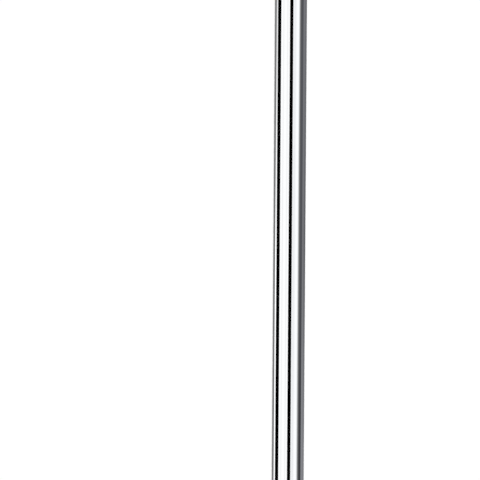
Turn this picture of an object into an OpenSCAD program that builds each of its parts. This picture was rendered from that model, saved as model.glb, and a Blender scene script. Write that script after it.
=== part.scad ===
// Linear shaft: one round bar of hardened bearing steel, hard chromed and ground,
// faced and chamfered at both ends. It lies on its side along X, and the origin is
// on its axis, halfway between the end faces. All sizes are in millimetres.

/* [Shaft] */
// Diameter of the ground and chromed surface
shaft_d = 16; // [6:1:50]
// Overall length, from one end face to the other
shaft_l = 400; // [100:50:1500]

/* [Ends] */
// Length of each end's chamfer, measured along the shaft
chamfer_l = 1; // [0.3:0.1:2.5]
// Angle between the chamfer and the shaft's axis
chamfer_angle = 45; // [15:5:45]

/* [Hidden] */
// Sides that the preview draws on a full circle
circle_sides = 180;
shaft_r = shaft_d / 2;
// Depth of the chamfer, measured in from the ground surface
chamfer_depth = chamfer_l * tan(chamfer_angle);
// Radius of the flat face that is left inside the chamfer
face_r = shaft_r - chamfer_depth;
// Distance from the origin to an end face, and to where its chamfer begins
face_x = shaft_l / 2;
ground_x = face_x - chamfer_l;

// Half of the lengthwise section: radius across, distance along the shaft up
module half_section() {
    polygon([
        [0, -face_x],
        [face_r, -face_x],
        [shaft_r, -ground_x],
        [shaft_r, ground_x],
        [face_r, face_x],
        [0, face_x]
    ]);
}

// The whole shaft, turned from its half section and laid along X
module shaft() {
    color("gainsboro")
        rotate([0, 90, 0])
            rotate_extrude($fn = circle_sides)
                half_section();
}

shaft();
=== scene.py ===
"""Looks of the linear shaft: a finely turned mesh in hard chrome with bare turned ends, lying on a
white floor under strip softboxes and flags that run parallel to it, seen from straight above.

Units are metres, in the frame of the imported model: +X along the shaft and up in the picture, +Z up
towards the camera, -Y to the picture's right, and the origin on the shaft's axis at mid-length."""
import math
import random

import bmesh
import bpy
from mathutils import Matrix, Vector


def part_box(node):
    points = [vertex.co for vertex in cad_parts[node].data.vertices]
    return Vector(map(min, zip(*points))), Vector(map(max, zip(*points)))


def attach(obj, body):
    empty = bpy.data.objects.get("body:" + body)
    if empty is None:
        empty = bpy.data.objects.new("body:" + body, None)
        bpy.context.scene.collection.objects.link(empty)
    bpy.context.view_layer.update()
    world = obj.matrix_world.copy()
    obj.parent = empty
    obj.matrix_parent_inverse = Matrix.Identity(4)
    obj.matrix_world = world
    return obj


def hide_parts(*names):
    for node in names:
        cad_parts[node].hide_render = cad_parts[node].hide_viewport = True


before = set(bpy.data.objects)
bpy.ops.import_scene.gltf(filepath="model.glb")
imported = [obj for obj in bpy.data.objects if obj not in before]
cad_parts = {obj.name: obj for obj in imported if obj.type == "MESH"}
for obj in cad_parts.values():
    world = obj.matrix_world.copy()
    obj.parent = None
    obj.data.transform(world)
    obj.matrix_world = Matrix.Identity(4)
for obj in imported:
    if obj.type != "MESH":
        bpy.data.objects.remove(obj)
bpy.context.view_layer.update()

MM = 0.001
low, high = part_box("shaft")
RADIUS = (high.z - low.z) / 2
HALF_LENGTH = (high.x - low.x) / 2
FLOOR_Z = low.z

# The ends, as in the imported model
CHAMFER = 1.0 * MM
FACE_RADIUS = RADIUS - CHAMFER

# The photograph's frame, in its own pixels
PICTURE_SIDE = 480
SHAFT_ACROSS_PX = 31.95
SHAFT_MIDDLE_PX = 289.37
LEAN_DEG = 0.40
METRES_PER_PX = 2 * RADIUS / SHAFT_ACROSS_PX

# Camera: a long lens straight above, with the shaft a little to the right of its axis
LENS_MM = 150.0
SENSOR_MM = 36.0
CLIP_NEAR = 0.01
CLIP_FAR = 50
CAMERA_HEIGHT = PICTURE_SIDE * METRES_PER_PX * LENS_MM / SENSOR_MM
SHAFT_RIGHT_OF_CAMERA = (SHAFT_MIDDLE_PX - PICTURE_SIDE / 2) * METRES_PER_PX
# How far the shaft's sight line leans from straight up, in radians
VIEW_TILT = math.atan(SHAFT_RIGHT_OF_CAMERA / CAMERA_HEIGHT)


def new_object(name, mesh_or_data):
    obj = bpy.data.objects.new(name, mesh_or_data)
    bpy.context.scene.collection.objects.link(obj)
    return obj


# Camera

def make_camera():
    lean = math.radians(LEAN_DEG)
    picture_right = Vector((math.sin(lean), -math.cos(lean), 0))
    picture_up = Vector((math.cos(lean), math.sin(lean), 0))
    towards_camera = Vector((0, 0, 1))

    data = bpy.data.cameras.new("camera")
    data.type = "PERSP"
    data.sensor_width = SENSOR_MM
    data.lens = LENS_MM
    data.clip_start = CLIP_NEAR
    data.clip_end = CLIP_FAR
    camera = new_object("camera", data)
    turn = Matrix((picture_right, picture_up, towards_camera)).transposed().to_4x4()
    place = towards_camera * CAMERA_HEIGHT - picture_right * SHAFT_RIGHT_OF_CAMERA
    camera.matrix_world = Matrix.Translation(place) @ turn
    bpy.context.scene.camera = camera


make_camera()


# Node helpers

def new_material(name):
    """A material with an empty node tree, and its output node."""
    material = bpy.data.materials.new(name)
    material.use_nodes = True
    tree = material.node_tree
    tree.nodes.clear()
    return material, tree, tree.nodes.new("ShaderNodeOutputMaterial")


def scaled_place(tree, per_metre):
    """The object's own coordinates, scaled along x, y and z."""
    place = tree.nodes.new("ShaderNodeTexCoord")
    scale = tree.nodes.new("ShaderNodeVectorMath")
    scale.operation = "MULTIPLY"
    scale.inputs[1].default_value = per_metre
    tree.links.new(place.outputs["Object"], scale.inputs[0])
    return scale.outputs[0]


def stretched_noise(tree, per_metre, detail=2.0):
    """Noise with so many features a metre along x, y and z."""
    noise = tree.nodes.new("ShaderNodeTexNoise")
    noise.inputs["Scale"].default_value = 1.0
    noise.inputs["Detail"].default_value = detail
    tree.links.new(scaled_place(tree, per_metre), noise.inputs["Vector"])
    return noise.outputs["Fac"]


def ring_noise(tree, per_metre):
    """Noise in rings round the x axis, with so many rings a metre outwards."""
    radius = tree.nodes.new("ShaderNodeVectorMath")
    radius.operation = "LENGTH"
    tree.links.new(scaled_place(tree, (0, per_metre, per_metre)), radius.inputs[0])
    noise = tree.nodes.new("ShaderNodeTexNoise")
    noise.noise_dimensions = "1D"
    noise.inputs["Scale"].default_value = 1.0
    noise.inputs["Detail"].default_value = 2.0
    tree.links.new(radius.outputs["Value"], noise.inputs["W"])
    return noise.outputs["Fac"]


def remap(tree, value, low_to, high_to, low_from=0.3, high_from=0.7):
    """The value, carried from one range to another."""
    node = tree.nodes.new("ShaderNodeMapRange")
    node.inputs["From Min"].default_value = low_from
    node.inputs["From Max"].default_value = high_from
    node.inputs["To Min"].default_value = low_to
    node.inputs["To Max"].default_value = high_to
    tree.links.new(value, node.inputs["Value"])
    return node.outputs["Result"]


def mix_colours(tree, factor, first, second):
    node = tree.nodes.new("ShaderNodeMix")
    node.data_type = "RGBA"
    node.inputs["A"].default_value = (*first, 1)
    node.inputs["B"].default_value = (*second, 1)
    tree.links.new(factor, node.inputs["Factor"])
    return node.outputs["Result"]


def add_values(tree, first, second):
    node = tree.nodes.new("ShaderNodeMath")
    node.operation = "ADD"
    tree.links.new(first, node.inputs[0])
    tree.links.new(second, node.inputs[1])
    return node.outputs[0]


# Materials of the shaft

def hard_chrome():
    """Ground and polished hard chrome: a mirror that fine lap marks round the shaft soften unevenly."""
    material, tree, output = new_material("hard_chrome")
    shader = tree.nodes.new("ShaderNodeBsdfPrincipled")
    shader.inputs["Metallic"].default_value = 1.0
    lap_marks = stretched_noise(tree, (5000, 90, 90))
    clouds = stretched_noise(tree, (60, 120, 120), detail=3.0)
    roughness = add_values(tree, remap(tree, lap_marks, 0.02, 0.08), remap(tree, clouds, 0.0, 0.02))
    tree.links.new(roughness, shader.inputs["Roughness"])
    tint = mix_colours(tree, clouds, (0.82, 0.83, 0.84), (0.845, 0.85, 0.855))
    tree.links.new(tint, shader.inputs["Base Color"])
    tree.links.new(shader.outputs[0], output.inputs["Surface"])
    return material


def turned_steel():
    """Bare steel as the cutting tool leaves it on the end faces and chamfers."""
    material, tree, output = new_material("turned_steel")
    shader = tree.nodes.new("ShaderNodeBsdfPrincipled")
    shader.inputs["Metallic"].default_value = 1.0
    rings = ring_noise(tree, 5000)
    grain = stretched_noise(tree, (3000, 3000, 3000), detail=3.0)
    clouds = stretched_noise(tree, (250, 250, 250), detail=3.0)
    roughness = add_values(tree, remap(tree, rings, 0.17, 0.29), remap(tree, grain, 0.0, 0.06))
    tree.links.new(roughness, shader.inputs["Roughness"])
    marks = add_values(tree, remap(tree, rings, 0.0, 0.55), remap(tree, clouds, 0.0, 0.45))
    tint = mix_colours(tree, marks, (0.49, 0.49, 0.48), (0.62, 0.62, 0.615))
    tree.links.new(tint, shader.inputs["Base Color"])
    tree.links.new(shader.outputs[0], output.inputs["Surface"])
    return material


# Shape of the shaft: a profile of rings, turned round the x axis

# Faces round the shaft, and steps along it between its ends
SIDES = 256
BODY_STEPS = 20
# Both edges of each chamfer are rounded off, from this far before the corner to this far after it
EDGE_BREAK = 0.12 * MM
BREAK_STEPS = 4
# A narrow band of faces beside each rounded edge, which keeps the rest of the surface flat
HOLD = 0.10 * MM
# What the facing tool leaves: rings about this far apart, each a flat land and an uneven groove
RING_PITCH = 0.34 * MM
LAND_SHARE = 0.3
GROOVE_PLACES = (0.55, 0.7)
GROOVE_DEPTHS = (0.007 * MM, 0.014 * MM)
RING_SEED = 16
# The dimple at the centre, where the facing tool stopped
DIMPLE_RADIUS = 0.30 * MM
DIMPLE_FLOOR_RADIUS = 0.105 * MM
DIMPLE_DEPTH = 0.04 * MM
# The body, between the two ends
BODY_HALF_LENGTH = HALF_LENGTH - CHAMFER - EDGE_BREAK - HOLD
# The chrome stops half-way through the rounding of the chamfer's outer edge
CHROME_HALF_LENGTH = HALF_LENGTH - CHAMFER - EDGE_BREAK / 2


def tool_ring(start, pitch, rng):
    """One ring that the facing tool leaves, from that radius outwards."""
    depth = rng.uniform(*GROOVE_DEPTHS)
    groove = start + pitch * rng.uniform(*GROOVE_PLACES)
    return [Vector((0, start + pitch * LAND_SHARE)), Vector((depth, groove)), Vector((0, start + pitch))]


def rounded_corner(corner, before, after):
    """Points that round a convex corner off, with its neighbours before and after it."""
    start = corner + (before - corner).normalized() * EDGE_BREAK
    end = corner + (after - corner).normalized() * EDGE_BREAK
    points = []
    for i in range(BREAK_STEPS + 1):
        t = i / BREAK_STEPS
        points.append(start.lerp(corner, t).lerp(corner.lerp(end, t), t))
    return points


def end_profile():
    """One end, from the centre of its face out to the ground surface. Each point is its distance in from
    the face and its radius."""
    face_corner = Vector((0, FACE_RADIUS))
    body_corner = Vector((CHAMFER, RADIUS))
    up_chamfer = (body_corner - face_corner).normalized()
    last_ring = FACE_RADIUS - EDGE_BREAK - 2 * HOLD
    ring_count = int((last_ring - DIMPLE_RADIUS) / RING_PITCH)
    pitch = (last_ring - DIMPLE_RADIUS) / ring_count
    rng = random.Random(RING_SEED)

    points = [Vector((DIMPLE_DEPTH, DIMPLE_FLOOR_RADIUS)), Vector((0, DIMPLE_RADIUS))]
    for i in range(ring_count):
        points += tool_ring(DIMPLE_RADIUS + pitch * i, pitch, rng)
    points.append(Vector((0, last_ring + HOLD)))
    points += rounded_corner(face_corner, Vector((0, 0)), body_corner)
    points.append(face_corner + up_chamfer * (EDGE_BREAK + HOLD))
    points.append(body_corner - up_chamfer * (EDGE_BREAK + HOLD))
    points += rounded_corner(body_corner, face_corner, Vector((2 * CHAMFER, RADIUS)))
    return points


def shaft_profile():
    """(x, radius) of every ring, from the -X face to the +X face."""
    end = end_profile()
    rows = [(-HALF_LENGTH + point.x, point.y) for point in end]
    rows += [(BODY_HALF_LENGTH * (2 * i / BODY_STEPS - 1), RADIUS) for i in range(BODY_STEPS + 1)]
    rows += [(HALF_LENGTH - point.x, point.y) for point in reversed(end)]
    return rows


def turned_shape(rows):
    """The profile turned round the x axis, and closed at both ends."""
    shape = bmesh.new()
    rings = []
    for x, radius in rows:
        ring = []
        for side in range(SIDES):
            turn = 2 * math.pi * side / SIDES
            ring.append(shape.verts.new((x, radius * math.cos(turn), radius * math.sin(turn))))
        rings.append(ring)
    for first, second in zip(rings, rings[1:]):
        for i in range(SIDES):
            j = (i + 1) % SIDES
            shape.faces.new((first[i], second[i], second[j], first[j]))
    caps = [shape.faces.new(rings[0]), shape.faces.new(rings[-1])]
    bmesh.ops.poke(shape, faces=caps)
    bmesh.ops.recalc_face_normals(shape, faces=shape.faces)
    return shape


# Map of the shaft, through which textures are baked. Its lower half holds the body, unrolled and cut in
# strips one over the other, and its upper half holds the ends, as two discs side by side.

MAP_STRIPS = 4
STRIP_HEIGHT = 0.5 / MAP_STRIPS
MAP_MARGIN = 0.004
DISC_RADIUS = 0.245
MINUS_X_DISC = Vector((0.25, 0.75))
PLUS_X_DISC = Vector((0.75, 0.75))
# From the centre of an end's face out to its edge, and from there in along the shaft to the body
END_REACH = RADIUS + HALF_LENGTH - BODY_HALF_LENGTH


def turn_round_axis(point):
    """How far round the x axis a point lies, from 0 to 1."""
    return math.atan2(point.z, point.y) / (2 * math.pi) % 1


def place_in_strips(point, face_middle):
    """Place on the map of a point of the body, on a face with that middle."""
    strips_along = MAP_STRIPS * (point.x / BODY_HALF_LENGTH + 1) / 2
    strip_number = int(MAP_STRIPS * (face_middle.x / BODY_HALF_LENGTH + 1) / 2)
    turn = turn_round_axis(point)
    if turn < turn_round_axis(face_middle) - 0.5:
        turn += 1
    return (MAP_MARGIN + (strips_along - strip_number) * (1 - 2 * MAP_MARGIN),
            STRIP_HEIGHT * strip_number + MAP_MARGIN + turn * (STRIP_HEIGHT - 2 * MAP_MARGIN))


def place_in_discs(point, face_middle):
    """Place on the map of a point of an end, on a face with that middle."""
    disc_middle = PLUS_X_DISC if face_middle.x > 0 else MINUS_X_DISC
    outwards = Vector((point.y, point.z))
    reach = outwards.length + HALF_LENGTH - abs(point.x)
    return disc_middle + outwards.normalized() * DISC_RADIUS * reach / END_REACH


def lay_out_map(shape):
    bake_map = shape.loops.layers.uv.new("OFBake")
    for face in shape.faces:
        face_middle = face.calc_center_median()
        on_body = abs(face_middle.x) < BODY_HALF_LENGTH
        place_on_map = place_in_strips if on_body else place_in_discs
        for loop in face.loops:
            loop[bake_map].uv = place_on_map(loop.vert.co, face_middle)


# The shaft

def make_shaft():
    shape = turned_shape(shaft_profile())
    lay_out_map(shape)
    for face in shape.faces:
        face.smooth = True
        face.material_index = 0 if abs(face.calc_center_median().x) < CHROME_HALF_LENGTH else 1
    mesh = bpy.data.meshes.new("ground_shaft")
    shape.to_mesh(mesh)
    shape.free()
    mesh.materials.append(hard_chrome())
    mesh.materials.append(turned_steel())
    shaft = new_object("ground_shaft", mesh)
    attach(shaft, "root")
    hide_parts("shaft")


make_shaft()


# Studio: softboxes, flags, grey and white cards, and a painted shadow under the shaft, which show only in
# reflections. Each is placed by where the camera sees it across the shaft: -1 is the shaft's left edge, 0 its
# middle and 1 its right edge.

ARCH_RADIUS = 1.2
ARCH_HALF_LENGTH = 5.0
# About how far across the shaft each face of an arch reaches
ARCH_STEP = 0.03
FLAG_HALF_LENGTH = 0.6
# Height of a card over the floor that it lies on
CARD_LIFT = 0.1 * MM
# Beyond the shaft's ends, what is as long as the shaft fades to white over this length
END_FADE = 30 * MM

# Levels and colours. White lies over 1 because the chrome gives back only about 84% of it.
WHITE = 1.19
FAINT_LINE = 0.88 * WHITE
END_GREY = 0.2
COOL_WHITE = (0.99, 0.995, 1.01)
COOL_GREY = (0.98, 0.985, 1.06)
COOL_DARK = (0.965, 0.985, 1.10)
# Levels of the painted shadow under the shaft: below its left edge, where it touches the floor, and below its
# right edge
PAINTED_SHADOW_LEVELS = (0.22, 0.02, 0.19)
# The drift of a panel whose level is the same all along
EVEN = (1, 1)

# Where neighbours meet, from left to right across the shaft
LEFT_EDGE = -0.998
LEFT_CARDS_MEET = -0.885
LEFT_FLAG_FOOT = -0.803
LEFT_FLAG_TOP = -0.594
GAP_LEFT = -0.053
GAP_RIGHT = 0.156
DIM_RIGHT = 0.40
RIGHT_FLAG_TOP = 0.66
RIGHT_FLAG_FOOT = 0.79
RIGHT_CARDS_MEET = 0.90
RIGHT_EDGE = 0.998


def reflected_ray(across):
    """The ray that the camera sees reflected at that place: its start and its direction, as (right, up)."""
    normal = math.asin(across) - VIEW_TILT
    leaving = normal + math.asin(across)
    start = Vector((math.sin(normal), math.cos(normal))) * RADIUS
    return start, Vector((math.sin(leaving), math.cos(leaving)))


def arch_point(across):
    """Where that ray meets the arch overhead."""
    start, direction = reflected_ray(across)
    along = start.dot(direction)
    return start + direction * (math.sqrt(along ** 2 + ARCH_RADIUS ** 2 - start.length_squared) - along)


def floor_reach(across):
    """How far to the right of the shaft's axis that ray meets the floor."""
    start, direction = reflected_ray(across)
    return (start + direction * (FLOOR_Z - start.y) / direction.y).x


def height_at(across, right):
    """How high over the axis that ray passes a plane that stands to the right of the shaft."""
    start, direction = reflected_ray(across)
    return (start + direction * (right - start.x) / direction.x).y


def glow(name, colour):
    """Light of the strength that the mesh's level attribute gives."""
    material, tree, output = new_material(name)
    level = tree.nodes.new("ShaderNodeAttribute")
    level.attribute_name = "level"
    shader = tree.nodes.new("ShaderNodeEmission")
    shader.inputs["Color"].default_value = (*colour, 1)
    tree.links.new(level.outputs["Fac"], shader.inputs["Strength"])
    tree.links.new(shader.outputs[0], output.inputs["Surface"])
    return material


def reflector(name, points, faces, levels, colour):
    """A panel that only reflections show."""
    mesh = bpy.data.meshes.new(name)
    mesh.from_pydata(points, [], faces)
    mesh.attributes.new("level", "FLOAT", "POINT").data.foreach_set("value", levels)
    mesh.materials.append(glow(name, colour))
    panel = new_object(name, mesh)
    panel.visible_camera = False
    panel.visible_diffuse = False
    panel.visible_shadow = False
    panel.visible_transmission = False
    panel.visible_volume_scatter = False


def strip(name, section, levels, half_length, colour=(1, 1, 1), drift=EVEN, end_fade=0.0):
    """A panel that runs along the shaft, through the points of section: (right, up) from the axis. Drift
    scales its level at even steps from its -X end to its +X end. Over end_fade past both ends, if that is
    given, it fades to white."""
    steps = len(drift) - 1
    stations = [half_length * (2 * i / steps - 1) for i in range(steps + 1)]
    if end_fade > 0:
        stations = [stations[0] - end_fade, *stations, stations[-1] + end_fade]
    points, values, faces = [], [], []
    for row, ((right, up), level) in enumerate(zip(section, levels)):
        row_values = [level * factor for factor in drift]
        values += [1, *row_values, 1] if end_fade > 0 else row_values
        for i, x in enumerate(stations):
            points.append((x, -right, up))
            if row > 0 and i > 0:
                here = len(points) - 1
                before = here - len(stations)
                faces.append((before - 1, before, here, here - 1))
    reflector(name, points, faces, values, colour)


def arch(name, stops, colour=(1, 1, 1)):
    """A strip bent over the shaft, through stops of (across, level)."""
    first_place, first_level = stops[0]
    section, levels = [arch_point(first_place)], [first_level]
    for (start, start_level), (end, end_level) in zip(stops, stops[1:]):
        steps = max(1, round((end - start) / ARCH_STEP))
        for i in range(1, steps + 1):
            t = i / steps
            section.append(arch_point(start + (end - start) * t))
            levels.append(start_level + (end_level - start_level) * t)
    strip(name, section, levels, ARCH_HALF_LENGTH, colour)


def card_section(rights):
    """Section of a panel that lies on the floor, through points so far to the right of the axis."""
    return [(right, FLOOR_Z + CARD_LIFT) for right in rights]


def inner_card(name, start, end, level, colour=(1, 1, 1), drift=EVEN):
    """A strip on the floor beside the shaft and as long as it, between two places across the shaft. It is
    partly a grey card and partly painted shade of the floor that the shaft shades beside it.
    """
    section = card_section((floor_reach(start), floor_reach(end)))
    strip(name, section, (level, level), HALF_LENGTH, colour, drift, END_FADE)


def outer_card(name, start, end, levels, colour=(1, 1, 1), drift=EVEN):
    """A strip on the floor further out, between two places across the shaft."""
    section = card_section((floor_reach(start), floor_reach(end)))
    strip(name, section, levels, FLAG_HALF_LENGTH, colour, drift)


def flag(name, foot, top, level, colour=(1, 1, 1), drift=EVEN):
    """A strip that stands on the floor, between two places across the shaft."""
    right = floor_reach(foot)
    section = [(right, FLOOR_Z), (right, height_at(top, right))]
    strip(name, section, (level, level), FLAG_HALF_LENGTH, colour, drift)


def end_card(side):
    """Closes the studio beyond one end of the shaft: grey at the floor and white overhead."""
    x = side * ARCH_HALF_LENGTH
    points = [(x, y, z) for z in (FLOOR_Z, ARCH_RADIUS) for y in (-ARCH_RADIUS, ARCH_RADIUS)]
    name = "end_card_plus_x" if side > 0 else "end_card_minus_x"
    reflector(name, points, [(0, 1, 3, 2)], (END_GREY, END_GREY, WHITE, WHITE), (1, 1, 1))


def painted_contact_shadow():
    """Painted shadow: a dark sheet on the floor under the shaft, seen only in reflections, deepest where the
    two touch.
    """
    section = card_section((floor_reach(LEFT_EDGE), 0, floor_reach(RIGHT_EDGE)))
    strip("painted_contact_shadow", section, PAINTED_SHADOW_LEVELS, HALF_LENGTH, end_fade=END_FADE)


def make_studio():
    arch("softbox_left", ((-0.72, WHITE), (-0.50, WHITE), (-0.44, FAINT_LINE), (-0.38, WHITE),
                          (-0.26, WHITE), (-0.19, FAINT_LINE), (-0.12, WHITE), (GAP_LEFT, WHITE)))
    arch("camera_gap", ((GAP_LEFT, 0), (GAP_RIGHT, 0)))
    arch("softbox_dim", ((GAP_RIGHT, 1.04), (0.22, 1.08), (0.28, 1.0), (DIM_RIGHT, WHITE)), COOL_WHITE)
    arch("softbox_right", ((DIM_RIGHT, WHITE), (0.50, WHITE), (0.60, 0.20), (0.67, 0.10), (0.71, 0.10)),
         COOL_WHITE)
    inner_card("card_left_grey_painted_shade", LEFT_EDGE, LEFT_CARDS_MEET, 0.22)
    outer_card("card_left_white", LEFT_CARDS_MEET, LEFT_FLAG_FOOT, (1.1, 1.2),
               drift=(1, 1, 1, 1, 1, 1.1, 1.15, 0.85, 0.7, 0.7, 0.8, 0.9, 1))
    flag("flag_left", LEFT_FLAG_FOOT, LEFT_FLAG_TOP, 0)
    inner_card("card_right_inner_painted_shade", RIGHT_CARDS_MEET, RIGHT_EDGE, 0.19, COOL_GREY,
               drift=(1.3, 1.4, 1.1, 0.75, 0.9, 0.95, 1))
    # Partly a grey card and partly painted shade of the floor beside the shaft, seen only in reflections
    outer_card("card_right_outer_painted_shade", RIGHT_FLAG_FOOT, RIGHT_CARDS_MEET, (0.23, 0.23), COOL_GREY,
               drift=(1, 1, 1, 1, 1.2, 1.2, 0.9, 0.9, 0.9, 1, 1, 1, 1))
    flag("flag_right", RIGHT_FLAG_FOOT, RIGHT_FLAG_TOP, 0.085, COOL_DARK,
         drift=(1, 1, 1, 0.8, 0.7, 0.6, 1.2, 1.3, 0.8, 0.8, 1, 1, 1))
    # Painted shadow under the shaft, which only reflections show
    painted_contact_shadow()
    end_card(1)
    end_card(-1)


make_studio()


# Floor, background and lamp

FLOOR_HALF_SIDE = 12.0
# Share of the floor's look that its paint has, and so the shadow on it
PAINT_SHARE = 0.55
PAINT = 0.9
# What the world and the lamp each give a level white surface that nothing shades
DOME_LIGHT = 0.18
SUN_LIGHT = 0.87
SUN_WIDTH_DEG = 8
# Where nothing shades it, the floor comes out a little over white, so that it has no grain
FLOOR_LEVEL = 1.02
FLOOR_WHITE = (FLOOR_LEVEL - PAINT_SHARE * PAINT * (DOME_LIGHT + SUN_LIGHT)) / (1 - PAINT_SHARE)


def background_share(tree):
    """1 for rays from the camera and from reflections, which see the white background, and 0 for all
    others."""
    rays = tree.nodes.new("ShaderNodeLightPath")
    kinds = ["Is Camera Ray", "Is Glossy Ray", "Is Transmission Ray"]
    value = rays.outputs[kinds[0]]
    for kind in kinds[1:]:
        either = tree.nodes.new("ShaderNodeMath")
        either.operation = "MAXIMUM"
        tree.links.new(value, either.inputs[0])
        tree.links.new(rays.outputs[kind], either.inputs[1])
        value = either.outputs[0]
    return value


def make_floor():
    """White for the camera and in reflections, and darker only in the shaft's shadow."""
    material, tree, output = new_material("floor")
    paint = tree.nodes.new("ShaderNodeBsdfDiffuse")
    paint.inputs["Color"].default_value = (PAINT, PAINT, PAINT, 1)
    white = tree.nodes.new("ShaderNodeEmission")
    white.inputs["Strength"].default_value = FLOOR_WHITE
    share = tree.nodes.new("ShaderNodeMath")
    share.operation = "MULTIPLY"
    share.inputs[1].default_value = 1 - PAINT_SHARE
    blend = tree.nodes.new("ShaderNodeMixShader")
    tree.links.new(background_share(tree), share.inputs[0])
    tree.links.new(share.outputs[0], blend.inputs["Fac"])
    tree.links.new(paint.outputs[0], blend.inputs[1])
    tree.links.new(white.outputs[0], blend.inputs[2])
    tree.links.new(blend.outputs[0], output.inputs["Surface"])
    mesh = bpy.data.meshes.new("floor")
    side = FLOOR_HALF_SIDE
    corners = [(-side, -side, FLOOR_Z), (side, -side, FLOOR_Z), (side, side, FLOOR_Z), (-side, side, FLOOR_Z)]
    mesh.from_pydata(corners, [], [(0, 1, 2, 3)])
    mesh.materials.append(material)
    new_object("floor", mesh)


def make_world():
    """White to the eye and in reflections, and plain soft light for everything else."""
    world = bpy.data.worlds.new("studio")
    world.use_nodes = True
    tree = world.node_tree
    tree.nodes.clear()
    output = tree.nodes.new("ShaderNodeOutputWorld")
    blend = tree.nodes.new("ShaderNodeMixShader")
    for socket, strength in ((1, DOME_LIGHT), (2, 1.0)):
        light = tree.nodes.new("ShaderNodeBackground")
        light.inputs["Color"].default_value = (1, 1, 1, 1)
        light.inputs["Strength"].default_value = strength
        tree.links.new(light.outputs[0], blend.inputs[socket])
    tree.links.new(background_share(tree), blend.inputs["Fac"])
    tree.links.new(blend.outputs[0], output.inputs["Surface"])
    bpy.context.scene.world = world


def make_lamp():
    """A soft sun straight overhead, so that the shadow lies under the shaft."""
    data = bpy.data.lights.new("overhead_lamp", "SUN")
    data.angle = math.radians(SUN_WIDTH_DEG)
    data.energy = SUN_LIGHT * math.pi
    lamp = new_object("overhead_lamp", data)
    lamp.visible_camera = False
    lamp.visible_glossy = False


make_floor()
make_world()
make_lamp()
bpy.context.scene.view_settings.view_transform = "Standard"
